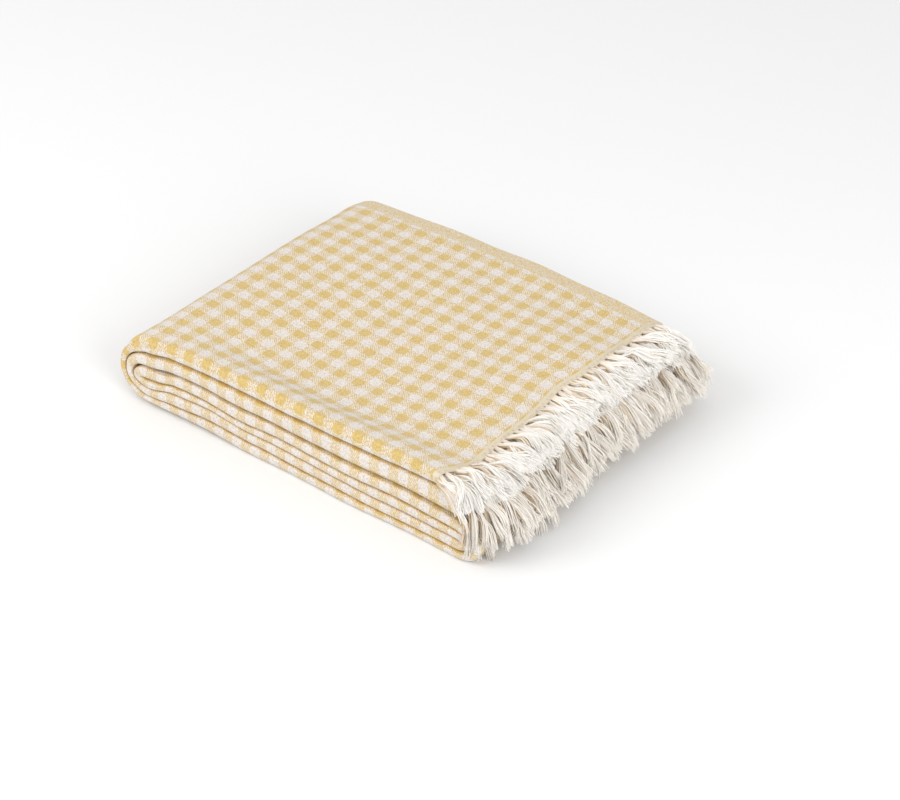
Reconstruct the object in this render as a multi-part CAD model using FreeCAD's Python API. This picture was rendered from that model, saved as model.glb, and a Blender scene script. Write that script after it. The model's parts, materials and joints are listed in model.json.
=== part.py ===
import FreeCAD, Part
import os
from FreeCAD import Vector

# A woven cotton throw, folded into a flat stack.
#
# The width is folded in quarters, so each pass of the length is four cloths thick, with a
# crease along the front (-Y) and the selvedges along the back (+Y). The length is folded in
# half, fringed ends together, and then in thirds with the mid-length crease tucked inside.
# That gives six passes. From the floor up: bottom, second, third, fourth, fifth, top.
#
# The cloth runs: fringe, top layer, outer fold, bottom layer, outer return fold, fourth
# layer, inner fold, third layer, inner return fold, second layer, middle fold, fifth layer,
# fringe. The folds stand at -X and the return folds and both fringes at +X.
#
# Frame: origin under the middle of the whole object, on the surface that it lies on.
# Millimetres, +Z up. While it is drawn, x is counted from the tip of the outer fold and y
# from the front crease. place() moves it to the frame.

# ---- driving dimensions -------------------------------------------------------------------
PANEL_WIDTH = 314.0             # front crease to back edge
HEM_LENGTH = 4.0                # stitched band at each fringed end
TOP_CLOTH_END = 343.0           # end of the top layer's hem
FIFTH_CLOTH_END = 360.0         # end of the fifth layer's hem
RETURN_START = 356.0            # where the layers begin to turn at the +X side
FOLD_START = 32.0               # where the layers begin to turn at the -X side
FOLD_SPLIT = 14.0               # the flap's hinge line, and where the folds are cut
BODY_GAP = 0.3                  # clearance between the flap and what it lies on
FOLD_ROOM = 0.5                 # room round the tip of the inner fold
CREASE_ROUNDING = 0.42          # rounding along the front crease, as a share of a layer

LAYERS = ["bottom_layer", "second_layer", "third_layer", "fourth_layer", "fifth_layer", "top_layer"]
LAYER_THICKNESS = {
    "bottom_layer": 11.5,
    "second_layer": 10.5,
    "third_layer": 9.5,
    "fourth_layer": 12.0,
    "fifth_layer": 16.5,
    "top_layer": 12.0,
}

# How far each turn reaches past the line where its layers begin to turn. The four cloths are
# drawn tight round a turn, so it is thinner there than along the layers.
OUTER_FOLD_REACH = 32.0
MIDDLE_FOLD_REACH = 25.5
INNER_FOLD_REACH = 18.0
OUTER_RETURN_REACH = 23.0
INNER_RETURN_REACH = 14.0
INNER_RETURN_HOLLOW = 1.6       # half the height of the slit inside the tightest return
INNER_RETURN_SLIT = 4.0         # and how far the slit reaches

# Fringe outlines, x and z, from the hem out to the tips. The tufts lean out and droop.
TOP_FRINGE_UNDERSIDE = [(343.0, 61.0), (361.0, 60.6), (387.0, 53.5)]
TOP_FRINGE_TOPSIDE = [(387.5, 56.5), (368.0, 66.0), (343.0, 71.0)]
SECOND_FRINGE_UNDERSIDE = [(360.0, 46.0), (372.0, 41.5), (384.0, 29.0), (392.0, 10.0)]
SECOND_FRINGE_TOPSIDE = [(402.5, 12.0), (396.0, 34.0), (382.0, 50.0), (360.0, 57.5)]
FRINGE_END_MARGIN = 3.0         # the outermost tufts stand this far in from the cloth's edges

# ---- worked out from them -----------------------------------------------------------------
layer_floor = {}
stack_height = 0.0
for layer in LAYERS:
    layer_floor[layer] = stack_height
    stack_height += LAYER_THICKNESS[layer]

overall_length = max(x for x, z in SECOND_FRINGE_TOPSIDE)


def layer_low(layer):
    """Height of a layer's underside. The flap keeps clear of the layer that it lies on."""
    if layer == "fifth_layer":
        return layer_floor[layer] + BODY_GAP
    return layer_floor[layer]


def layer_high(layer):
    """Height of a layer's top."""
    return layer_floor[layer] + LAYER_THICKNESS[layer]


def place(shape):
    """Move a shape from the drawing's corner to the part's frame."""
    moved = shape.copy()
    moved.translate(Vector(-overall_length / 2, -PANEL_WIDTH / 2, 0))
    return moved


def block(x_low, x_high, z_low, z_high):
    """A slab over the whole width of the stack."""
    size = Vector(x_high - x_low, PANEL_WIDTH, z_high - z_low)
    return Part.makeBox(size.x, size.y, size.z, Vector(x_low, 0, z_low))


def across_width(outline, y_low, y_high):
    """A prism along Y with a straight-sided outline of x and z points."""
    points = [Vector(x, y_low, z) for x, z in outline]
    face = Part.Face(Part.makePolygon(points + points[:1]))
    return face.extrude(Vector(0, y_high - y_low, 0))


def elliptic_bar(x_centre, z_low, z_high, reach):
    """A bar along Y whose section is an ellipse, from z_low to z_high."""
    half_height = (z_high - z_low) / 2
    unit = Part.makeCylinder(1.0, PANEL_WIDTH, Vector(0, 0, 0), Vector(0, 1, 0))
    stretch = FreeCAD.Matrix()
    stretch.A11 = reach
    stretch.A33 = half_height
    bar = unit.transformGeometry(stretch)
    bar.translate(Vector(x_centre, 0, z_low + half_height))
    return bar


def turn(x_start, side, outer, inner):
    """The half ring that joins two layers. side is -1 at -X and +1 at +X.

    outer and inner are (z_low, z_high, reach) of its two faces, and inner may be None.
    """
    low, high, reach = outer
    ring = elliptic_bar(x_start, low, high, reach)
    if inner is not None:
        ring = ring.cut(elliptic_bar(x_start, *inner))
    far_x = x_start + side * (reach + 1.0)
    return ring.common(block(min(x_start, far_x), max(x_start, far_x), low, high))


def soften_front(slab):
    """Round the two long edges at a slab's front crease."""
    radius = CREASE_ROUNDING * slab.BoundBox.ZLength
    front_edges = [
        edge for edge in slab.Edges if edge.BoundBox.YMax < 0.01 and edge.BoundBox.XLength > radius
    ]
    return slab.makeFillet(radius, front_edges)


# ---- turns --------------------------------------------------------------------------------
top, bottom = layer_high("top_layer"), layer_low("bottom_layer")
outer_turn = turn(
    FOLD_START,
    -1,
    (bottom, top, OUTER_FOLD_REACH),
    (layer_high("bottom_layer"), layer_floor["top_layer"], MIDDLE_FOLD_REACH),
)
middle_turn = turn(
    FOLD_START,
    -1,
    (
        layer_floor["second_layer"] + BODY_GAP,
        layer_high("fifth_layer") - BODY_GAP,
        MIDDLE_FOLD_REACH - BODY_GAP,
    ),
    (layer_high("second_layer"), layer_low("fifth_layer"), INNER_FOLD_REACH + FOLD_ROOM),
)
inner_turn = turn(
    FOLD_START,
    -1,
    (layer_floor["third_layer"], layer_high("fourth_layer"), INNER_FOLD_REACH),
    None,
)
outer_return = turn(
    RETURN_START,
    1,
    (bottom, layer_high("fourth_layer"), OUTER_RETURN_REACH),
    (layer_high("bottom_layer"), layer_floor["fourth_layer"], INNER_RETURN_REACH),
)
inner_return = turn(
    RETURN_START,
    1,
    (layer_floor["second_layer"], layer_high("third_layer"), INNER_RETURN_REACH),
    (
        layer_floor["third_layer"] - INNER_RETURN_HOLLOW,
        layer_floor["third_layer"] + INNER_RETURN_HOLLOW,
        INNER_RETURN_SLIT,
    ),
)

# The outer and middle turns are cut at the hinge line. Past it they join the layers.
middle_height = (layer_high("second_layer") + layer_low("fifth_layer")) / 2
left_of_hinge = block(-1.0, FOLD_SPLIT, bottom, top)
right_of_hinge = block(FOLD_SPLIT, FOLD_START, bottom, middle_height)
right_on_flap = block(FOLD_SPLIT + BODY_GAP, FOLD_START, middle_height, top)

layer_turns = {
    "bottom_layer": outer_turn.common(right_of_hinge),
    "second_layer": middle_turn.common(right_of_hinge),
    "fifth_layer": middle_turn.common(right_on_flap),
    "top_layer": outer_turn.common(right_on_flap),
}

# ---- sub-parts ----------------------------------------------------------------------------
parts = {}

layer_end = {layer: RETURN_START for layer in LAYERS}
layer_end["fifth_layer"] = FIFTH_CLOTH_END - HEM_LENGTH
layer_end["top_layer"] = TOP_CLOTH_END - HEM_LENGTH

for layer in LAYERS:
    slab = soften_front(block(FOLD_START, layer_end[layer], layer_low(layer), layer_high(layer)))
    if layer in layer_turns:
        slab = slab.fuse(layer_turns[layer]).removeSplitter()
    parts[layer] = slab

parts["outer_fold"] = outer_turn.common(left_of_hinge)
parts["middle_fold"] = middle_turn.common(left_of_hinge)
parts["inner_fold"] = inner_turn
parts["outer_return_fold"] = outer_return
parts["inner_return_fold"] = inner_return

for name, layer, cloth_end in (
    ("top_hem", "top_layer", TOP_CLOTH_END),
    ("second_hem", "fifth_layer", FIFTH_CLOTH_END),
):
    parts[name] = block(cloth_end - HEM_LENGTH, cloth_end, layer_low(layer), layer_high(layer))

for name, outline in (
    ("top_fringe", TOP_FRINGE_UNDERSIDE + TOP_FRINGE_TOPSIDE),
    ("second_fringe", SECOND_FRINGE_UNDERSIDE + SECOND_FRINGE_TOPSIDE),
):
    parts[name] = across_width(outline, FRINGE_END_MARGIN, PANEL_WIDTH - FRINGE_END_MARGIN)

# ---- write --------------------------------------------------------------------------------
os.makedirs("parts", exist_ok=True)
for name, shape in parts.items():
    solid = place(shape)
    solid.exportStep("parts/" + name + ".step")
    print(name, "valid", solid.isValid(), "solids", len(solid.Solids), "volume", round(solid.Volume))
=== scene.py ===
import json
import math

import bpy
import numpy as np
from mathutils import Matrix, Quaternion, Vector


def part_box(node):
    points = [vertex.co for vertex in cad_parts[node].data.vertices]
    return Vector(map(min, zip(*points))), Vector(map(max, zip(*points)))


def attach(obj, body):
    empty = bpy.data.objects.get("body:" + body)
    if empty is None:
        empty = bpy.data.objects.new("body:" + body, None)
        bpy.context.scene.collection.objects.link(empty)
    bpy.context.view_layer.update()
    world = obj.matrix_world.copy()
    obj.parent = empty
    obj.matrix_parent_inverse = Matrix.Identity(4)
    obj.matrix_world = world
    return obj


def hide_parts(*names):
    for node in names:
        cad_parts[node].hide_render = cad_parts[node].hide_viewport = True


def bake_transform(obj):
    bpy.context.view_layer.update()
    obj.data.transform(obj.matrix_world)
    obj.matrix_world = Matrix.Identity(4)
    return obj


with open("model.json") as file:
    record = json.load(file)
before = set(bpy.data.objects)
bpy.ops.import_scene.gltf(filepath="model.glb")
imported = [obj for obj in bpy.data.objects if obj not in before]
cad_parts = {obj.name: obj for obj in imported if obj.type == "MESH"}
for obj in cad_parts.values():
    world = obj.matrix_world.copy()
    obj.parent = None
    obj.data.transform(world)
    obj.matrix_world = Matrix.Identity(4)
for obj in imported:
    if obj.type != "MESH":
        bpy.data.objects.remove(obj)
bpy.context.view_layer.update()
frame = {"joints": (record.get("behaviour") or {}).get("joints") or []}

# A woven gingham throw, folded into a flat stack with both fringed ends at +X.
#
# The cloth is one grid of points with true cloth coordinates: s along its length and t across
# its width, in mm. The width is folded in quarters, so each pass of the length shows four
# cloths. The length makes six passes joined by turns. The grid is laid out flat and exact
# first, then settled: levels sag, ripple and pinch as soft cloth does. It is then cut into closed
# thin shells, which stand in for one or two CAD sub-parts each.
#
# Lengths are in mm and "drawn": x from the tip of the outer fold, y from the front crease and
# z from the floor. to_frame() gives metres in the part's frame.

DRAWN_ORIGIN = np.array([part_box("outer_fold")[0].x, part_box("third_layer")[0].y, 0.0])


def to_frame(points):
    """Drawn mm to metres in the part's frame."""
    return np.asarray(points) / 1000 + DRAWN_ORIGIN


def drawn(node, side, axis):
    """One coordinate of a CAD node's box, in drawn mm. side is 0 for low and 1 for high."""
    return (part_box(node)[side][axis] - DRAWN_ORIGIN[axis]) * 1000


X, Y, Z = 0, 1, 2
LOW, HIGH = 0, 1

# ---- the cloth ----------------------------------------------------------------------------
CLOTH_WIDTH = 1250.0
HALF_FOLD = 629.0               # the first fold across the width, a little off the middle
TOP_CREASE = 318.3              # where the second fold falls on the top pass
CREASE = 305.5                  # and on every other pass
FIFTH_CREASE = 303.6            # except the fifth
CREASE_WANDER = 1.2             # how far those creases stray from one thread
CREASE_NOSE = 0.60              # how round the front crease is: 1 is a half circle
CREASE_BOXINESS = 0.58          # below 1 the crease is flatter in front
CLOTH_THICKNESS = 1.2
HEM_THICKNESS = 1.4
PANEL_STEP = 7.0                # spacing of the grid across the flat panels
PASS_STEP = 6.0                 # spacing along the flat passes
TURN_STEP = 2.4                 # spacing round the turns
STRIPE_ANCHOR = 149.6           # x of the middle of one white stripe on the top pass

# ---- the stack, from the CAD part ---------------------------------------------------------
LEVELS = np.array([
    drawn("bottom_layer", LOW, Z),
    drawn("inner_return_fold", LOW, Z),
    drawn("third_layer", LOW, Z),
    drawn("fourth_layer", LOW, Z),
    drawn("fourth_layer", HIGH, Z),
    drawn("top_hem", LOW, Z),
    drawn("top_hem", HIGH, Z),
])
FOLD_START = drawn("third_layer", LOW, X)
RETURN_START = drawn("third_layer", HIGH, X)
TOP_END = drawn("top_hem", HIGH, X)
TOP_HEM_START = drawn("top_hem", LOW, X)
FIFTH_END = drawn("second_hem", HIGH, X)
FIFTH_HEM_START = drawn("second_hem", LOW, X)
OUTER_REACH = FOLD_START - drawn("outer_fold", LOW, X)
MIDDLE_REACH = FOLD_START - drawn("middle_fold", LOW, X)
INNER_REACH = FOLD_START - drawn("inner_fold", LOW, X)
RETURN_REACH = drawn("outer_return_fold", HIGH, X) - RETURN_START
INNER_RETURN_REACH = drawn("inner_return_fold", HIGH, X) - RETURN_START
INNER_FOLD_HOLLOW = 7.0         # how far the slit inside the tightest turns reaches
INNER_RETURN_HOLLOW = 4.0
HINGE_X = (frame["joints"][0]["pos_m"][0] - DRAWN_ORIGIN[X]) * 1000
BODY_WIDTH = drawn("third_layer", HIGH, Y)


# ---- small tools --------------------------------------------------------------------------
def smooth(value, start, end):
    """0 before start, 1 after end, and an even slope between."""
    u = np.clip((np.asarray(value, float) - start) / (end - start), 0, 1)
    return u * u * (3 - 2 * u)


def bump(value, middle, width):
    """A bell of height 1."""
    return np.exp(-(((value - middle) / width) ** 2))


def ripple(x, y, wavelength, seed):
    """A gentle random swell between about -1 and 1."""
    random = np.random.default_rng(seed)
    total = 0.0
    for _ in range(5):
        direction = random.uniform(0, 2 * np.pi)
        phase = random.uniform(0, 2 * np.pi)
        pitch = wavelength * random.uniform(0.7, 1.4)
        forward = x * np.cos(direction) + y * np.sin(direction)
        total = total + np.sin(2 * np.pi * forward / pitch + phase)
    return total / 2.5


def unit(vectors):
    return vectors / np.maximum(np.linalg.norm(vectors, axis=-1, keepdims=True), 1e-9)


# ---- the path of the length ---------------------------------------------------------------
# A station holds the two faces of the four cloths at one place along the length: the face
# next to the outer cloth, then the face on the other side, each as x and z.
def flat_pass(x_from, x_to, level, outer_cloth_up):
    """Stations along one level of the stack."""
    count = round(abs(x_to - x_from) / PASS_STEP) + 2
    x = np.linspace(x_from, x_to, count)
    upper = np.stack([x, np.full(count, LEVELS[level + 1])], 1)
    lower = np.stack([x, np.full(count, LEVELS[level])], 1)
    return np.stack([upper, lower] if outer_cloth_up else [lower, upper], 1)


def turn(x_centre, side, outer, inner, downward, outer_cloth_outside):
    """Stations round a half turn. outer and inner are (low level, high level, reach)."""
    outer_low, outer_high, outer_reach = outer
    outer_height = (LEVELS[outer_high] - LEVELS[outer_low]) / 2
    length = math.pi * math.sqrt((outer_height**2 + outer_reach**2) / 2)
    angle = np.linspace(math.pi / 2, -math.pi / 2, round(length / TURN_STEP) + 1)
    if not downward:
        angle = angle[::-1]
    faces = []
    for low, high, reach in (outer, inner):
        middle = (LEVELS[low] + LEVELS[high]) / 2
        height = (LEVELS[high] - LEVELS[low]) / 2
        x = x_centre + side * reach * np.cos(angle)
        faces.append(np.stack([x, middle + height * np.sin(angle)], 1))
    return np.stack(faces if outer_cloth_outside else faces[::-1], 1)


RUNS = [
    ("top", flat_pass(TOP_END, FOLD_START, 5, True)),
    ("outer_fold", turn(FOLD_START, -1, (0, 6, OUTER_REACH), (1, 5, MIDDLE_REACH), True, True)),
    ("bottom", flat_pass(FOLD_START, RETURN_START, 0, False)),
    ("outer_return", turn(
        RETURN_START, 1, (0, 4, RETURN_REACH), (1, 3, INNER_RETURN_REACH), False, True)),
    ("fourth", flat_pass(RETURN_START, FOLD_START, 3, True)),
    ("inner_fold", turn(
        FOLD_START, -1, (2, 4, INNER_REACH), (3, 3, INNER_FOLD_HOLLOW), True, True)),
    ("third", flat_pass(FOLD_START, RETURN_START, 2, False)),
    ("inner_return", turn(
        RETURN_START, 1, (1, 3, INNER_RETURN_REACH), (2, 2, INNER_RETURN_HOLLOW), True, False)),
    ("second", flat_pass(RETURN_START, FOLD_START, 1, True)),
    ("middle_fold", turn(FOLD_START, -1, (1, 5, MIDDLE_REACH), (2, 4, INNER_REACH), False, False)),
    ("fifth", flat_pass(FOLD_START, FIFTH_END, 4, False)),
]

first_station, last_station, parts = {}, {}, []
station_count = 0
for run, stations in RUNS:
    kept = stations if not parts else stations[1:]
    first_station[run] = max(station_count - 1, 0)
    station_count += len(kept)
    last_station[run] = station_count - 1
    parts.append(kept)
path = np.concatenate(parts)

outer_cloth_line = path[:, 0] + 0.125 * (path[:, 1] - path[:, 0])
steps = np.linalg.norm(np.diff(outer_cloth_line, axis=0), axis=1)
along = np.concatenate([[0.0], np.cumsum(steps)]) + STRIPE_ANCHOR - TOP_END
pass_thickness = np.linalg.norm(path[:, 1] - path[:, 0], axis=1)
turn_share = smooth(np.arange(station_count), first_station["outer_fold"], last_station["outer_fold"])
wander = CREASE_WANDER * np.sin(2 * np.pi * along / 430 + 0.6) * turn_share
fifth_share = smooth(np.arange(station_count), first_station["middle_fold"], last_station["middle_fold"])
crease_at = TOP_CREASE + (CREASE - TOP_CREASE) * turn_share + wander
crease_at = crease_at + (FIFTH_CREASE - CREASE) * fifth_share


# ---- the section across the width ---------------------------------------------------------
# The depth of the four plies through a pass, from 0 to 1, in the order that the width runs.
OUTER_PLY, BACKING_PLY, INNER_PLY, LAST_PLY = 0.125, 0.875, 0.625, 0.375
EDGE_POINTS = (0.003, 0.008)    # extra points beside a selvedge, as shares of its panel
CREASE_POINTS = 17
TIGHT_FOLD_POINTS = 8


def section(thickness, crease):
    """The quarter-folded width at each station: y, depth through the pass, t, and the groove.

    From one selvedge: outer ply to the front crease, backing ply to the half fold, inner ply
    forward again to the inner crease, and last ply back to the other selvedge. The groove is 1
    where the front crease curves in against the next pass, and 0 elsewhere.
    """
    thickness, crease = thickness[:, None], crease[:, None]
    wide = (BACKING_PLY - OUTER_PLY) / 2 * thickness
    tight = (BACKING_PLY - INNER_PLY) / 2 * thickness
    nose = CREASE_NOSE * wide
    round_crease = math.pi * np.sqrt((wide**2 + nose**2) / 2)
    crease_start = crease - round_crease / 2
    crease_end = crease + round_crease / 2
    half_start = HALF_FOLD - tight * math.pi / 2
    half_end = HALF_FOLD + tight * math.pi / 2
    half_y = nose + half_start - crease_end
    inner_start = half_end + half_y - wide
    inner_end = inner_start + tight * math.pi

    panel = np.linspace(0, 1, round(BODY_WIDTH / PANEL_STEP))[None, :-1]
    from_edge = np.sort(np.concatenate([panel, np.array([EDGE_POINTS])], 1))
    to_edge = 1 - from_edge[:, ::-1]
    wide_arc = np.linspace(0, 1, CREASE_POINTS)[None, :-1]
    tight_arc = np.linspace(0, 1, TIGHT_FOLD_POINTS)[None, :-1]

    def fold_depth(start, end, turned, t):
        """The depth round a fold from one ply to another."""
        return (start + end) / 2 + (start - end) / 2 * np.cos(turned) + 0 * t

    pieces = []
    t = from_edge * crease_start
    pieces.append((nose + crease_start - t, np.full_like(t, OUTER_PLY), t))
    turned = wide_arc * math.pi
    t = crease_start + round_crease * wide_arc
    front = nose * (1 - np.sin(turned) ** CREASE_BOXINESS)
    pieces.append((front, fold_depth(OUTER_PLY, BACKING_PLY, turned, t), t))
    t = crease_end + panel * (half_start - crease_end)
    pieces.append((nose + t - crease_end, np.full_like(t, BACKING_PLY), t))
    turned = tight_arc * math.pi
    t = half_start + tight * turned
    pieces.append((half_y + tight * np.sin(turned), fold_depth(BACKING_PLY, INNER_PLY, turned, t), t))
    t = half_end + panel * (inner_start - half_end)
    pieces.append((half_y - (t - half_end), np.full_like(t, INNER_PLY), t))
    t = inner_start + tight * turned
    pieces.append((wide - tight * np.sin(turned), fold_depth(INNER_PLY, LAST_PLY, turned, t), t))
    t = inner_end + to_edge * (CLOTH_WIDTH - inner_end)
    pieces.append((wide + t - inner_end, np.full_like(t, LAST_PLY), t))
    y, depth, t = [np.concatenate(rows, 1) for rows in zip(*pieces)]
    # The groove marks where the material paints shade against the next pass.
    groove = smooth(y / nose, 0.3, 0.6) * (1 - smooth(y / nose, 0.7, 0.98))
    return y, depth, t, groove


y, depth, across, groove = section(pass_thickness, crease_at)
x = path[:, :1, 0] + depth * (path[:, 1:, 0] - path[:, :1, 0])
z = path[:, :1, 1] + depth * (path[:, 1:, 1] - path[:, :1, 1])
along = np.broadcast_to(along[:, None], across.shape)


# ---- settling -----------------------------------------------------------------------------
FRONT_RISE = 50.0               # how far behind the front crease the top has sunk fully
SLOPE_TAKES_UP = 3.3            # the length of cloth that the slope behind the crest uses up
CREST_SWELL = 2.2               # how far the front crest stands above the CAD top
SAG_DEEPEST = 14.0              # the sunk middle of the top, just behind the front crest
SAG_AT_LEFT = 1.5               # beside the outer fold the top hardly sinks
SAG_LESS_BEHIND = 0.68          # the share of the sag that is gone near the back
BACK_SINK = 2.0                 # though the very back sinks a little everywhere
LEFT_CORNER_DIP = 2.5           # the front left corner is pressed down
RIGHT_RISE = 4.6                # the top rises again towards the hem
BACK_BOW = 11.0                 # the back edge bows out between its corners
CORNER_TUCK = 8.0               # and its corners are drawn in
BACK_DROOP = 4.0                # it curves down at the very back
WRINKLE = 0.5                   # fine unevenness of every cloth
FRONT_SWELL = 0.5               # unevenness of the pass boundaries along the front
FRONT_WANDER = 1.2              # how far the front creases stray forward and back
HEM_WAVE = 4.0                  # the hem's line wanders this far
GAP = 3.0                       # the open wedge between the fourth and fifth passes
GAP_AT = 49.0                   # and its x
RETURN_PINCH = (0.06, 0.14)     # the return folds are pressed flatter than drawn, in two steps

# How far each boundary between passes lies off its drawn height along the front, floor to top.
FRONT_PLACES = (30, 60, 100, 150, 210, 280, 340)
FRONT_SHIFTS = (
    (4.5, 3.2, 2.2, 0.0, 0.0, 0.0, 0.0),
    (-2.8, -0.3, 2.0, -0.5, -2.2, -4.0, -4.2),
    (-5.6, 1.2, 4.5, -0.8, -1.2, -4.0, -4.0),
    (-6.0, -1.5, 0.8, -3.0, -2.8, -3.2, -3.6),
    (-5.5, -1.2, -0.7, -1.8, -5.4, -3.2, -4.3),
    (-9.6, -4.2, -1.4, -1.1, -2.2, -1.6, 1.0),
)
FRONT_DEPTH = 60.0              # those shifts fade this far behind the front
LEFT_EXTRA_DEPTH = 150.0        # and further behind it at the left end


def along_front(x, shifts):
    """The shifts at FRONT_PLACES, joined by smooth curves."""
    total = shifts[0]
    steps = zip(FRONT_PLACES, FRONT_PLACES[1:], shifts, shifts[1:])
    for place, following, shift, next_shift in steps:
        total = total + (next_shift - shift) * smooth(x, place, following)
    return total


def top_sag(x, y):
    """How far the top of the stack sinks below its full height."""
    from_front = smooth(y, 2, FRONT_RISE)
    past_left = smooth(x, 25, 180)
    less_at_back = 1 - SAG_LESS_BEHIND * np.clip((y - 83) / 190, 0, 1.1)
    deep = (SAG_DEEPEST - SAG_AT_LEFT) * past_left * less_at_back
    at_back = BACK_SINK * smooth(y, 220, 280)
    near_hem = RIGHT_RISE * smooth(x, 205, 330) * (1 - smooth(y, 210, 280))
    crest = CREST_SWELL * smooth(x, 60, 110) * (1 - from_front)
    left_corner = LEFT_CORNER_DIP * bump(x, 40, 25) * bump(y, 0, 30)
    return from_front * (SAG_AT_LEFT + deep + at_back - near_hem) - crest + left_corner


def level_shift(level, x, y):
    """How far one boundary between passes moves up from its drawn height."""
    if level == 6:
        return -top_sag(x, y)
    at_front = along_front(x, FRONT_SHIFTS[level])
    near_left = smooth(x, 75, 15)
    fade = FRONT_DEPTH + LEFT_EXTRA_DEPTH * near_left
    share = LEVELS[level] / LEVELS[6]
    settled = -top_sag(x, y) * share * smooth(y, 5, 40)
    swell = FRONT_SWELL * share * ripple(x, 0.4 * y, 60, seed=20 + level) * smooth(x, 12, 45)
    return settled + (at_front + swell) * bump(y, 0, fade)


def settle(x, y, z, in_lower_stack):
    """Move drawn points to where soft cloth would lie."""
    shifts = np.stack([level_shift(level, x, y) for level in range(len(LEVELS))])
    place = np.clip(np.searchsorted(LEVELS, z, side="right") - 1, 0, len(LEVELS) - 2)
    within = (z - LEVELS[place]) / (LEVELS[place + 1] - LEVELS[place])
    lower = np.take_along_axis(shifts, place[None], 0)[0]
    upper = np.take_along_axis(shifts, place[None] + 1, 0)[0]
    new_z = z + lower + (upper - lower) * within

    pinch = RETURN_PINCH[0] * smooth(x, 340, 368) + RETURN_PINCH[1] * smooth(x, 356, 380)
    gap = GAP * bump(x, GAP_AT, 9) * bump(y, 0, 35)
    share = np.clip(z / LEVELS[4], 0, 1)
    new_z = new_z - in_lower_stack * (pinch * new_z + gap * share**3)

    new_z = new_z + WRINKLE * ripple(x, y, 70, seed=3) * smooth(z, 0, 30)
    front = bump(y, 0, 40)
    new_y = y + FRONT_WANDER * ripple(x, 4 * z, 130, seed=5) * front
    bow = BACK_BOW * np.sin(np.pi * np.clip((x - 20) / 330, 0, 1)) - CORNER_TUCK
    new_y = new_y + bow * smooth(y, 170, 310)
    new_y = new_y - SLOPE_TAKES_UP * smooth(y, 2, FRONT_RISE) * smooth(z, 60, 70)
    new_z = new_z - BACK_DROOP * smooth(y, 292, 318) * smooth(z, 30, 70)
    hem_wave = 0.9 * bump(y, 35, 30) + 0.4 * bump(y, 110, 18) - bump(y, 165, 22) - 0.8 * bump(y, 4, 9)
    new_x = x + HEM_WAVE * hem_wave * smooth(x, 230, TOP_END) * (1 - in_lower_stack)
    return np.stack([new_x, new_y, new_z], -1)


def stations_of(*runs):
    """1 at each station of these runs and 0 elsewhere, as a column."""
    chosen = np.zeros((station_count, 1))
    for run in runs:
        chosen[first_station[run]:last_station[run] + 1] = 1.0
    return chosen


lower_stack = 1.0 - stations_of("top", "fifth", "outer_fold", "middle_fold")
faces_out = stations_of("top", "outer_fold", "bottom", "outer_return") * (depth < 0.5)
# Where the material paints shade in the grooves.
in_groove = groove * (1 - faces_out)
grid = settle(x, y, z, lower_stack)
normals = unit(np.cross(np.gradient(grid, axis=0), np.gradient(grid, axis=1)))


# ---- shells -------------------------------------------------------------------------------
SELVEDGE_THINNING = 0.45        # the cloth is this much of its thickness at the very selvedge
SHARP_ANGLE = 50


def shell(name, rows, columns=slice(None), thickness=CLOTH_THICKNESS):
    """Cut a run of the grid out and give it two faces and closed edges."""
    middle, outward = grid[rows, columns], normals[rows, columns]
    s, t = along[rows, columns], across[rows, columns]
    height, width = middle.shape[:2]
    half = np.full((height, width), thickness / 2)
    at_selvedge = (t < 0.5) | (t > CLOTH_WIDTH - 0.5)
    half[at_selvedge] *= SELVEDGE_THINNING
    sides = [middle + outward * half[..., None], middle - outward * half[..., None]]
    vertices = to_frame(np.concatenate([side.reshape(-1, 3) for side in sides]))

    index = np.arange(height * width).reshape(height, width)
    top_quads = np.stack([index[:-1, :-1], index[:-1, 1:], index[1:, 1:], index[1:, :-1]], -1)
    rim = np.concatenate([index[0], index[1:, -1], index[-1, -2::-1], index[-2::-1, 0]])
    below = height * width
    rim_quads = np.stack([rim[:-1], rim[:-1] + below, rim[1:] + below, rim[1:]], -1)
    faces = np.concatenate([
        top_quads.reshape(-1, 4)[:, ::-1],
        top_quads.reshape(-1, 4) + below,
        rim_quads[:, ::-1],
    ])
    mesh = bpy.data.meshes.new(name)
    mesh.from_pydata(vertices.tolist(), [], faces.tolist())
    mesh.validate()
    # The third value is the mask of painted shade in the grooves.
    cloth = np.stack([s, t, in_groove[rows, columns]], -1).reshape(-1, 3) / 1000
    attribute = mesh.attributes.new("cloth", "FLOAT_VECTOR", "POINT")
    attribute.data.foreach_set("vector", np.concatenate([cloth, cloth]).ravel())
    mesh.shade_smooth()
    mesh.set_sharp_from_angle(angle=math.radians(SHARP_ANGLE))
    piece = bpy.data.objects.new(name, mesh)
    bpy.context.scene.collection.objects.link(piece)
    return piece


# ---- fringe -------------------------------------------------------------------------------
TUFT_SPACING = 5.4
FIRST_TUFT = 2.5
TUFT_WANDER = 1.6               # how far a tuft stands from its even place
STRANDS = 28
STRAND_POINTS = 9
STRAND_RADIUS = 0.44
LOW_STRAND_FATTER = 1.5         # the low strands fill the gaps between tufts
LOW_STRAND_SHORTER = 0.3
UNDERSIDE_SHADE = 0.15                # the share of a low strand's painted shade on the underside of every strand
ROOT_BEHIND_EDGE = 2.4          # each tuft starts this far inside the hem
LOCK_WAVE = (6, 20)             # how far a whole tuft waves, in degrees
STRAY_WAVE = (2, 8)             # and how far one strand strays from its tuft
WAVE_TURNS = (4, 9)             # radians of wave along a strand
LOCK_TURN = 11                  # how far tufts turn sideways, in degrees
LOCK_LIFT = 7                   # and up or down at the root
TIP_TURN = 30                   # how far they turn again by the tip
TIP_LIFT = 10
STRAND_TURN = 2.5               # and how far the strands of one tuft part
TIP_TAPER = 0.3                 # how much thinner a strand is at its tip
LOWEST_YARN = 0.8               # no strand comes nearer to the floor than this
TUFT_HALF_WIDTH = 2.0
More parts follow.
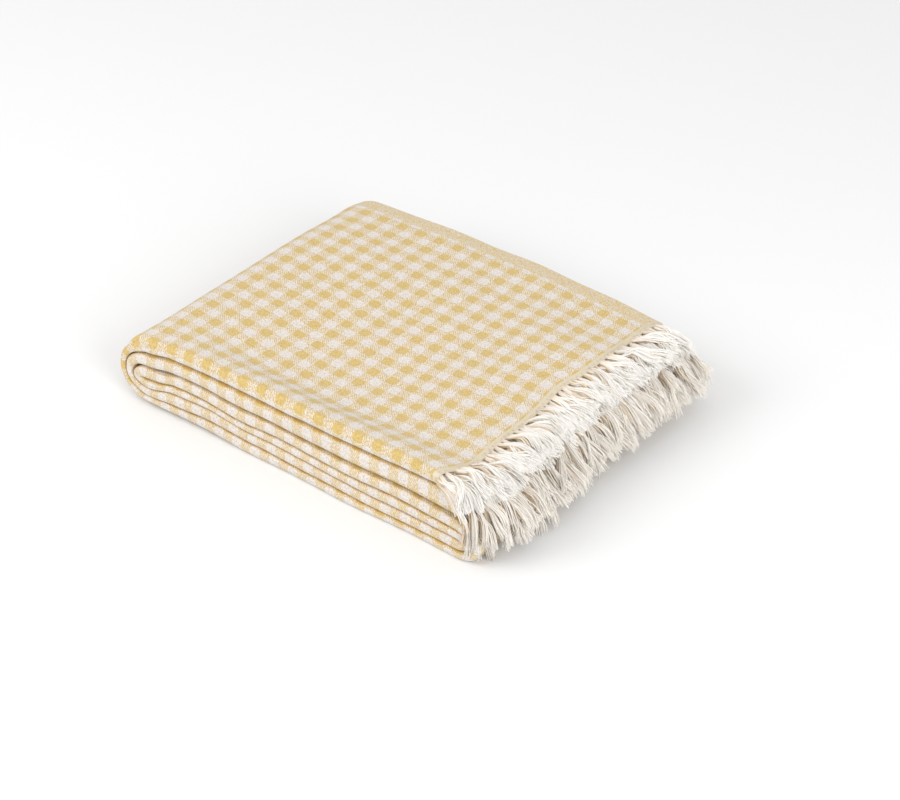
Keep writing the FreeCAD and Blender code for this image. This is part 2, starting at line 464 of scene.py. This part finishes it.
TUFT_HALF_HEIGHT = 1.5
TOP_FRINGE_LENGTH = 40.0
SECOND_FRINGE_LENGTH = 48.0


def strand_paths(roots, full_length, root_yaw, start_pitch, end_pitch, bend_from, random):
    """Centre lines of every strand, (tuft, strand, point, 3), and how low each lies in its tuft.

    Angles are in degrees. The strands of one tuft keep together, so a tuft waves as one lock.
    """
    tufts = len(roots)
    lock, strand = (tufts, 1, 1), (tufts, STRANDS, 1)
    u = np.linspace(0, 1, STRAND_POINTS)[None, None, :]
    bent = smooth(u, 0, 1) * (1 - bend_from[:, None, None]) + bend_from[:, None, None] * u**3
    height, turns, phase = (random.uniform(*span, lock) for span in (LOCK_WAVE, WAVE_TURNS, (0, 6.3)))
    lock_wave = height * np.sin(turns * u + phase)
    stray = random.uniform(*STRAY_WAVE, strand) * np.sin(random.uniform(*WAVE_TURNS, strand) * u)
    pitch = start_pitch[:, None, None] + random.normal(0, LOCK_LIFT, lock)
    pitch = pitch + random.normal(0, STRAND_TURN, strand)
    pitch = pitch + (end_pitch - start_pitch)[:, None, None] * bent
    pitch = pitch + random.normal(0, TIP_LIFT, lock) * u + 0.6 * lock_wave + stray[:, ::-1]
    yaw = root_yaw[:, None, None] + random.normal(0, LOCK_TURN, lock)
    yaw = yaw + random.uniform(-TIP_TURN, TIP_TURN, lock) * u
    yaw = yaw + random.normal(0, STRAND_TURN, strand) * (0.4 + u) + lock_wave + stray
    pitch, yaw = np.radians(pitch), np.radians(yaw)
    around, apart = random.uniform(0, 2 * np.pi, strand), np.sqrt(random.uniform(0, 1, strand))
    low = smooth(-np.sin(around) * apart, -0.1, 0.65)
    length = full_length * random.normal(1, 0.07, lock) * random.uniform(0.92, 1.03, strand)
    step = length * (1 - LOW_STRAND_SHORTER * low) / (STRAND_POINTS - 1)
    moves = np.stack([np.cos(pitch) * np.cos(yaw), np.cos(pitch) * np.sin(yaw), np.sin(pitch)], -1)
    moves = moves * step[..., None]
    travelled = np.cumsum(moves, axis=2) - moves
    fuller = 0.75 + 0.7 * u
    spread_y = np.cos(around) * apart * TUFT_HALF_WIDTH * fuller
    spread_z = np.sin(around) * apart * TUFT_HALF_HEIGHT * fuller
    offset = np.stack([0 * spread_y, spread_y, spread_z], -1)
    return roots[:, None, None] + travelled + offset, low[..., 0]


def tubes(name, lines, low, sheltered):
    """Three-sided tubes along the lines, a little thinner at the tip."""
    count, points = lines.shape[:2]
    tangent = unit(np.gradient(lines, axis=1))
    side = unit(np.cross(tangent, np.array([0.15, 0.3, 1.0])))
    up = np.cross(side, tangent)
    taper = 1 - TIP_TAPER * np.linspace(0, 1, points) ** 3
    radius = STRAND_RADIUS * taper * (1 + LOW_STRAND_FATTER * low[:, None])
    corners = np.radians([90, 210, 330])
    ring = side[:, :, None] * np.cos(corners)[:, None] + up[:, :, None] * np.sin(corners)[:, None]
    vertices = lines[:, :, None] + ring * radius[:, :, None, None]
    index = np.arange(count * points * 3).reshape(count, points, 3)
    following = np.roll(index, -1, axis=2)
    quads = np.stack([index[:, :-1], following[:, :-1], following[:, 1:], index[:, 1:]], -1)
    mesh = bpy.data.meshes.new(name)
    tips = index[:, -1].tolist()
    starts = index[:, 0, ::-1].tolist()
    faces = quads.reshape(-1, 4).tolist() + tips + starts
    mesh.from_pydata(to_frame(vertices.reshape(-1, 3)).tolist(), [], faces)
    along_strand = np.broadcast_to(np.linspace(0, 1, points)[None, :, None], index.shape)
    # Painted shade for the material: the low strands, and the underside of every strand.
    underside = np.maximum(-np.sin(corners), 0) * 2
    lows = low[:, None, None] + UNDERSIDE_SHADE * (1 - low[:, None, None]) * underside
    lows = np.broadcast_to(lows, index.shape)
    attribute = mesh.attributes.new("strand", "FLOAT_VECTOR", "POINT")
    values = np.stack([along_strand, lows, np.full(index.shape, sheltered)], -1)
    attribute.data.foreach_set("vector", values.ravel())
    mesh.shade_smooth()
    piece = bpy.data.objects.new(name, mesh)
    bpy.context.scene.collection.objects.link(piece)
    return piece


def fringe(name, row, length, droop, sheltered, seed):
    """Tufts of loose yarn along one fringed end, one piece for each half of the width.

    droop gives the angles at each root.
    """
    random = np.random.default_rng(seed)
    spots = np.arange(FIRST_TUFT, CLOTH_WIDTH - 2, TUFT_SPACING)
    spots = spots + random.uniform(-TUFT_WANDER, TUFT_WANDER, len(spots))
    spots = np.clip(spots, 1, CLOTH_WIDTH - 1)
    roots = np.stack([np.interp(spots, across[row], grid[row][:, axis]) for axis in range(3)], 1)
    roots[:, X] -= ROOT_BEHIND_EDGE
    yaw, start_pitch, end_pitch, late = droop(roots)
    lines, low = strand_paths(roots, length, yaw, start_pitch, end_pitch, late, random)
    lines[..., Z] = np.maximum(lines[..., Z], LOWEST_YARN)
    in_outer_half = spots < HALF_FOLD
    halves = {name + "_outer": in_outer_half, name + "_inner": ~in_outer_half}
    return [
        tubes(half_name, lines[tufts].reshape(-1, STRAND_POINTS, 3), low[tufts].ravel(), sheltered)
        for half_name, tufts in halves.items()
    ]


# Angles in degrees at the root and at the tip, up from level, away from the corners.
TOP_FRINGE_ANGLES = (-5, -30)
SECOND_FRINGE_ANGLES = (-20, -52)
BACK_CORNER = 318               # y of the back corner, where both fringes turn


# Both functions give, at each root: the angle sideways, the angle at the root and at the tip, and
# how late along its length the yarn bends (0 to 1).
def top_droop(roots):
    """The top end's fringe lies out over the end below and hangs at the near corner."""
    y, z = roots[:, Y], roots[:, Z]
    corner = bump(y, 0, 7)
    far_corner = bump(y, BACK_CORNER, 16)
    under = smooth(z, 69, 63) * (1 - corner)
    at_root, at_tip = TOP_FRINGE_ANGLES
    start = at_root + 3 * under - 12 * corner
    end = at_tip - 4 * under - 30 * corner - 14 * far_corner
    return -12 * corner - 26 * far_corner, start, end, under


def second_droop(roots):
    """The lower end's fringe falls over the return fold, steepest at the near corner."""
    y, z = roots[:, Y], roots[:, Z]
    corner = bump(y, 0, 24)
    far_corner = bump(y, BACK_CORNER, 24)
    far = smooth(y, 200, 300)
    low = smooth(z, 56, 47)
    at_root, at_tip = SECOND_FRINGE_ANGLES
    start = at_root - 12 * corner + 5 * far - 6 * low
    end = at_tip - 34 * corner + 12 * far - 6 * low
    return 4 * corner - 22 * far_corner, start, end, np.zeros_like(y)


# ---- materials ----------------------------------------------------------------------------
WHITE = (0.744, 0.693, 0.651, 1)
YELLOW = (0.654, 0.480, 0.178, 1)
BORDER = (0.662, 0.475, 0.145, 1)
SHADED = (0.55, 0.46, 0.33)     # painted shade: how much of each colour is left deep between the yarns and painted shade in the grooves between the passes, yellow like light bounced there
GROOVE_SHADE = (0.93, 0.76, 0.50)     # and in the grooves between the passes, where yellow light is caught
HEM = (0.71, 0.64, 0.50, 1)
FRINGE = (0.94, 0.92, 0.88, 1)
# The colour of the fringe's painted shade, golden brown like light bounced between cotton yarns.
FRINGE_SHADE = (0.56, 0.345, 0.11, 1)

# The cloth's coordinates reach the material in metres, so these are metres too.
STRIPE = 0.010                  # width of a stripe along the length
ROW = 0.0095                    # and across the width
SELVEDGE = 0.0195               # width of the plain border
YARN = 0.0006
STRIPE_WANDER = (28.0, 0.003)   # scale and height of the stripes' slow drift
STRIPE_FRAY = (260.0, 0.0022)   # and of their uneven edges
SQUARE_ROUNDING = 0.11          # how far the corners of the squares are rounded off
LOOSE_YARNS = 2.0               # how unevenly the yarns cross: 0 is an exact twill
BORDER_YELLOW = 0.45            # the share of yellow in the border's speckle
GAP_BRIGHTNESS = 0.80           # how bright the gaps between the yarns are
CROWN_BRIGHTER = 0.16           # and how much brighter the yarns' crowns
MOTTLE_BASE = -0.20             # unevenness of the yarn: a fixed part,
MOTTLE_NOISE = 1.8              # a part that varies over the cloth
MOTTLE_YARN = 0.40              # and a part that varies from crossing to crossing
ROOT_SHADE = 0.6                # how much painted shade, golden brown, the fringe has at its root, low in each tuft, where the shade fades by this much towards the tip, and as a painted shadow under the other fringe
LOW_SHADE = 0.9                 # low in each tuft,
TIP_FADES = 0.55                # where the brown fades by this much towards the tip,
SHELTERED_SHADOW = 0.13          # and under the other fringe


class Shader:
    """Adds shader nodes to a new material and joins them."""

    def __init__(self, name, roughness):
        self.material = bpy.data.materials.new(name)
        self.material.use_nodes = True
        self.tree = self.material.node_tree
        self.surface = self.tree.nodes["Principled BSDF"]
        self.surface.inputs["Roughness"].default_value = roughness
        self.surface.inputs["Specular IOR Level"].default_value = 0.2

    def put(self, socket, value):
        if isinstance(value, bpy.types.NodeSocket):
            self.tree.links.new(value, socket)
        else:
            socket.default_value = value

    def node(self, kind, inputs, **settings):
        made = self.tree.nodes.new(kind)
        for key, value in settings.items():
            setattr(made, key, value)
        for key, value in inputs.items():
            self.put(made.inputs[key], value)
        return made

    def math(self, operation, first, second=0.0):
        return self.node("ShaderNodeMath", {0: first, 1: second}, operation=operation).outputs[0]

    def mix(self, share, first, second):
        made = self.node("ShaderNodeMix", {0: share, 6: first, 7: second}, data_type="RGBA")
        return made.outputs[2]

    def noise(self, vector, scale, detail=2.0):
        made = self.node("ShaderNodeTexNoise", {"Vector": vector, "Scale": scale, "Detail": detail})
        return made.outputs[0]

    def drift(self, vector, scale, height):
        """Noise of this height, as far below 0 as above."""
        return self.math("MULTIPLY", self.math("SUBTRACT", self.noise(vector, scale), 0.5), height)

    def tinted(self, colour, tint):
        made = self.node("ShaderNodeVectorMath", {0: colour, 1: tint}, operation="MULTIPLY")
        return made.outputs[0]

    def coordinates(self, attribute):
        source = self.node("ShaderNodeAttribute", {}, attribute_name=attribute)
        split = self.node("ShaderNodeSeparateXYZ", {0: source.outputs["Vector"]})
        return source.outputs["Vector"], *split.outputs

    def bump(self, height, distance, strength, normal=None):
        inputs = {"Height": height, "Distance": distance, "Strength": strength}
        if normal is not None:
            inputs["Normal"] = normal
        return self.node("ShaderNodeBump", inputs).outputs[0]


def yarn_profile(shader, position):
    """The round top of each yarn, from 0 in the gap to 1 on its crown."""
    turns = shader.math("MULTIPLY", position, math.pi / YARN)
    return shader.math("ABSOLUTE", shader.math("SINE", turns))


def from_white(shader, position, period, middle):
    """Distance from the middle of the nearest white stripe: 0 there and 1 in mid-yellow."""
    turns = shader.math("DIVIDE", shader.math("SUBTRACT", position, middle), period)
    return shader.math("MULTIPLY", shader.math("PINGPONG", turns, 0.5), 2.0)


def rounding(shader, other):
    """How much a stripe gives way near the edges of the crossing one, so squares lose corners."""
    off = shader.math("SUBTRACT", other, 0.5)
    near_edge = shader.math("SUBTRACT", 0.5, shader.math("ABSOLUTE", off))
    sharp = shader.math("POWER", shader.math("MULTIPLY", near_edge, 2.0), 4.0)
    cut = shader.math("MULTIPLY", sharp, SQUARE_ROUNDING)
    return shader.math("MULTIPLY", cut, shader.math("MULTIPLY", shader.math("SIGN", off), -1.0))


def wave(shader, position, period, start):
    """A cosine along the cloth with its crest at start."""
    shifted = shader.math("SUBTRACT", position, start)
    return shader.math("COSINE", shader.math("MULTIPLY", shifted, 2 * math.pi / period))


def stripes(shader, s, t):
    """Which weft and warp yarns are white, as two switches."""
    s_white = from_white(shader, s, 2 * STRIPE, 0.0)
    t_white = from_white(shader, t, 2 * ROW, SELVEDGE)
    weft_white = shader.math("LESS_THAN", shader.math("ADD", s_white, rounding(shader, t_white)), 0.5)
    warp_white = shader.math("LESS_THAN", shader.math("ADD", t_white, rounding(shader, s_white)), 0.5)
    return weft_white, warp_white


def twill(shader, s, t):
    """Where the warp lies on top, as a switch, and a chance of 0 to 1 for each crossing."""
    yarn_s = shader.math("FLOOR", shader.math("DIVIDE", s, YARN))
    yarn_t = shader.math("FLOOR", shader.math("DIVIDE", t, YARN))
    step = shader.math("FLOORED_MODULO", shader.math("ADD", yarn_s, yarn_t), 4.0)
    crossing = shader.node("ShaderNodeCombineXYZ", {0: yarn_s, 1: yarn_t}).outputs[0]
    chance = shader.node("ShaderNodeTexWhiteNoise", {"Vector": crossing}).outputs["Value"]
    uneven = shader.math("MULTIPLY", shader.math("SUBTRACT", chance, 0.5), LOOSE_YARNS)
    warp_on_top = shader.math("LESS_THAN", shader.math("ADD", step, uneven), 1.5)
    return warp_on_top, chance


def gingham():
    """2/2 twill of white and yellow yarns. Stripes cross to make white, yellow and mixed squares."""
    shader = Shader("gingham_cotton", 0.9)
    cloth, s, t, groove = shader.coordinates("cloth")
    wander, fray = shader.drift(cloth, *STRIPE_WANDER), shader.drift(cloth, *STRIPE_FRAY)
    shift = shader.math("ADD", wander, fray)
    s_wavy = shader.math("ADD", s, shift)
    t_wavy = shader.math("SUBTRACT", t, shift)
    weft_white, warp_white = stripes(shader, s_wavy, t_wavy)
    warp_on_top, chance = twill(shader, s, t)

    warp_colour = shader.mix(warp_white, YELLOW, WHITE)
    weft_colour = shader.mix(weft_white, YELLOW, WHITE)
    colour = shader.mix(warp_on_top, weft_colour, warp_colour)
    from_middle = shader.math("ABSOLUTE", shader.math("SUBTRACT", t, CLOTH_WIDTH / 2000))
    in_border = shader.math("GREATER_THAN", from_middle, CLOTH_WIDTH / 2000 - SELVEDGE)
    speckle = shader.mix(shader.math("LESS_THAN", chance, BORDER_YELLOW), BORDER, WHITE)
    colour = shader.mix(in_border, colour, speckle)
    # Painted shade in the grooves between the passes, yellow like bounced light.
    in_groove = shader.math("MULTIPLY", groove, 1000.0)
    colour = shader.mix(in_groove, colour, shader.tinted(colour, GROOVE_SHADE))

    yarn_height = shader.node("ShaderNodeMix", {
        0: warp_on_top,
        2: yarn_profile(shader, s),
        3: yarn_profile(shader, t),
    }).outputs[0]
    # Painted shade, deepest between the yarns and least on their crowns, times the mottle, which is the
    # yarn's own uneven tone.
    shade_and_mottle = shader.math("ADD", shader.math("MULTIPLY", yarn_height, CROWN_BRIGHTER), GAP_BRIGHTNESS)
    mottle = shader.math("MULTIPLY", shader.noise(cloth, 600.0), MOTTLE_NOISE)
    mottle = shader.math("ADD", mottle, MOTTLE_BASE)
    mottle = shader.math("ADD", mottle, shader.math("MULTIPLY", chance, MOTTLE_YARN))
    shade_and_mottle = shader.math("MULTIPLY", shade_and_mottle, mottle)
    lit = shader.mix(shade_and_mottle, shader.tinted(colour, SHADED), colour)
    shader.put(shader.surface.inputs["Base Color"], lit)

    s_puff, t_puff = wave(shader, s_wavy, 2 * STRIPE, 0.0), wave(shader, t_wavy, 2 * ROW, ROW)
    soft = shader.bump(shader.math("MULTIPLY", s_puff, t_puff), 0.0006, 0.5)
    shader.put(shader.surface.inputs["Normal"], shader.bump(yarn_height, 0.00025, 0.6, soft))
    shader.surface.inputs["Sheen Weight"].default_value = 0.25
    return shader.material


def hem_material():
    """The plain stitched band at each end."""
    shader = Shader("hem_cotton", 0.9)
    cloth, _, t, _ = shader.coordinates("cloth")
    speckle = shader.noise(cloth, 700.0)
    dark = (HEM[0] * 0.88, HEM[1] * 0.84, HEM[2] * 0.76, 1)
    shader.put(shader.surface.inputs["Base Color"], shader.mix(speckle, dark, HEM))
    shader.put(shader.surface.inputs["Normal"], shader.bump(yarn_profile(shader, t), 0.0003, 0.6))
    return shader.material


def fringe_material():
    """Loose cotton yarn: cream, and golden brown painted shade at the root and low in each tuft."""
    shader = Shader("fringe_cotton", 0.85)
    _, from_root, low, sheltered = shader.coordinates("strand")
    # Painted shade at the root and low in each tuft, and a painted shadow where sheltered under the
    # other fringe.
    near_root = shader.math("POWER", shader.math("SUBTRACT", 1.0, from_root), 4.0)
    near_root = shader.math("MULTIPLY", near_root, ROOT_SHADE)
    inside = shader.math("SUBTRACT", 1.0, shader.math("MULTIPLY", from_root, TIP_FADES))
    inside = shader.math("MULTIPLY", shader.math("MULTIPLY", inside, low), LOW_SHADE)
    share = shader.math("MAXIMUM", inside, near_root)
    share = shader.math("ADD", share, shader.math("MULTIPLY", sheltered, SHELTERED_SHADOW))
    shader.put(shader.surface.inputs["Base Color"], shader.mix(share, FRINGE, FRINGE_SHADE))
    shader.surface.inputs["Sheen Weight"].default_value = 0.3
    return shader.material


# ---- pieces -------------------------------------------------------------------------------
OUTER_PIECE_PAST_CREASE = 12    # the top's outer piece ends this far behind the front crease


def station_near_hinge(run, upper):
    """The station of a fold that lies nearest to the hinge line, above or below its tip."""
    rows = np.arange(first_station[run], last_station[run] + 1)
    centre = path[rows].mean(axis=1)
    tip = int(np.argmin(centre[:, 0]))
    falling = centre[0, 1] > centre[-1, 1]
    half = slice(0, tip) if upper == falling else slice(tip, len(rows))
    nearest = int(np.argmin(np.abs(centre[half, 0] - HINGE_X)))
    return int(rows[half][nearest])


def rows_between(first, last):
    return slice(first, last + 1)


def station_at(run, x_wanted):
    """The station of a flat pass nearest to an x."""
    rows = np.arange(first_station[run], last_station[run] + 1)
    return int(rows[np.argmin(np.abs(path[rows, 0, 0] - x_wanted))])


cloth_material = gingham()
band_material = hem_material()
yarn_material = fringe_material()

outer_cut_high = station_near_hinge("outer_fold", True)
outer_cut_low = station_near_hinge("outer_fold", False)
middle_cut_high = station_near_hinge("middle_fold", True)
middle_cut_low = station_near_hinge("middle_fold", False)
top_hem_row = station_at("top", TOP_HEM_START)
fifth_hem_row = station_at("fifth", FIFTH_HEM_START)
outer_ply = int(np.searchsorted(across[0], TOP_CREASE + OUTER_PIECE_PAST_CREASE))

CLOTHS = [
    # name, rows, columns, rides, stands for
    ("top_cloth_outer", rows_between(top_hem_row, outer_cut_high), slice(0, outer_ply + 1),
     "top_flap", ["top_layer"]),
    ("top_cloth_inner", rows_between(top_hem_row, outer_cut_high), slice(outer_ply, None),
     "top_flap", ["top_layer"]),
    ("fifth_cloth", rows_between(middle_cut_high, fifth_hem_row), slice(None),
     "top_flap", ["fifth_layer"]),
    ("outer_fold_cloth", rows_between(outer_cut_high, outer_cut_low), slice(None),
     "fold", ["outer_fold"]),
    ("middle_fold_cloth", rows_between(middle_cut_low, middle_cut_high), slice(None),
     "fold", ["middle_fold"]),
    ("bottom_cloth", rows_between(outer_cut_low, last_station["outer_return"]), slice(None),
     "root", ["bottom_layer", "outer_return_fold"]),
    ("fourth_cloth", rows_between(first_station["fourth"], last_station["inner_fold"]), slice(None),
     "root", ["fourth_layer", "inner_fold"]),
    ("third_cloth", rows_between(first_station["third"], last_station["inner_return"]), slice(None),
     "root", ["third_layer", "inner_return_fold"]),
    ("second_cloth", rows_between(first_station["second"], middle_cut_low), slice(None),
     "root", ["second_layer"]),
]

for name, rows, columns, rides, stands_for in CLOTHS:
    piece = shell(name, rows, columns)
    piece.data.materials.append(cloth_material)
    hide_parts(*stands_for)
    if rides != "fold":
        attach(piece, rides)
        continue
    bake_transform(piece)

for name, rows, stands_for in (
    ("top_hem_band", rows_between(0, top_hem_row), "top_hem"),
    ("second_hem_band", rows_between(fifth_hem_row, station_count - 1), "second_hem"),
):
    piece = shell(name, rows, thickness=HEM_THICKNESS)
    piece.data.materials.append(band_material)
    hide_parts(stands_for)
    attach(piece, "top_flap")

fringes = {}
# The second fringe is sheltered and gets a painted shadow from the top fringe.
for name, row, length, droop, sheltered, seed, stands_for in (
    ("top_fringe_yarn", 0, TOP_FRINGE_LENGTH, top_droop, 0.0, 1, "top_fringe"),
    ("second_fringe_yarn", station_count - 1, SECOND_FRINGE_LENGTH, second_droop, 1.0, 2,
     "second_fringe"),
):
    fringes[name] = fringe(name, row, length, droop, sheltered, seed)
    for piece in fringes[name]:
        piece.data.materials.append(yarn_material)
        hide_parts(stands_for)
        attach(piece, "top_flap")

for name, rows, columns, *_ in CLOTHS:
    length = float(np.ptp(along[rows, 0])) / 1000

# ---- floor, light and camera --------------------------------------------------------------
bpy.ops.mesh.primitive_plane_add(size=12)
floor = bpy.context.object
floor.name = "floor"
floor_material = bpy.data.materials.new("pale_floor")
floor_material.use_nodes = True
floor_surface = floor_material.node_tree.nodes["Principled BSDF"]
floor_surface.inputs["Base Color"].default_value = (0.80, 0.80, 0.80, 1)
floor_surface.inputs["Roughness"].default_value = 0.9
floor.data.materials.append(floor_material)

world = bpy.data.worlds.new("studio")
world.use_nodes = True
world.node_tree.nodes["Background"].inputs["Color"].default_value = (1, 1, 1, 1)
world.node_tree.nodes["Background"].inputs["Strength"].default_value = 0.86
bpy.context.scene.world = world


def soft_light(name, place, size, power):
    """A large square light that faces the throw."""
    data = bpy.data.lights.new(name, "AREA")
    data.size = size
    data.energy = power
    light = bpy.data.objects.new(name, data)
    light.location = place
    light.rotation_euler = (-Vector(place)).to_track_quat("-Z", "Y").to_euler()
    bpy.context.scene.collection.objects.link(light)


soft_light("key", (-1.2, -1.7, 1.5), 1.4, 28)
soft_light("fill", (1.9, -0.8, 1.1), 1.2, 26)
bpy.context.scene.view_settings.view_transform = "Standard"

CAMERA_AZIMUTH = 36.67
CAMERA_ELEVATION = 34.55
CAMERA_ROLL = 1.66
CAMERA_DISTANCE = 1.8434
CAMERA_TARGET = to_frame([280.1, 91.2, 66.1])
SENSOR_WIDTH = 36.0
LENS = 92.0

azimuth, elevation = math.radians(CAMERA_AZIMUTH), math.radians(CAMERA_ELEVATION)
back = Vector((
    math.sin(azimuth) * math.cos(elevation),
    -math.cos(azimuth) * math.cos(elevation),
    math.sin(elevation),
))
camera_data = bpy.data.cameras.new("camera")
camera_data.sensor_width = SENSOR_WIDTH
camera_data.lens = LENS
camera = bpy.data.objects.new("camera", camera_data)
camera.location = Vector(CAMERA_TARGET) + back * CAMERA_DISTANCE
camera.rotation_mode = "QUATERNION"
level_view = (-back).to_track_quat("-Z", "Y")
camera.rotation_quaternion = level_view @ Quaternion((0, 0, 1), math.radians(CAMERA_ROLL))
bpy.context.scene.collection.objects.link(camera)
bpy.context.scene.camera = camera
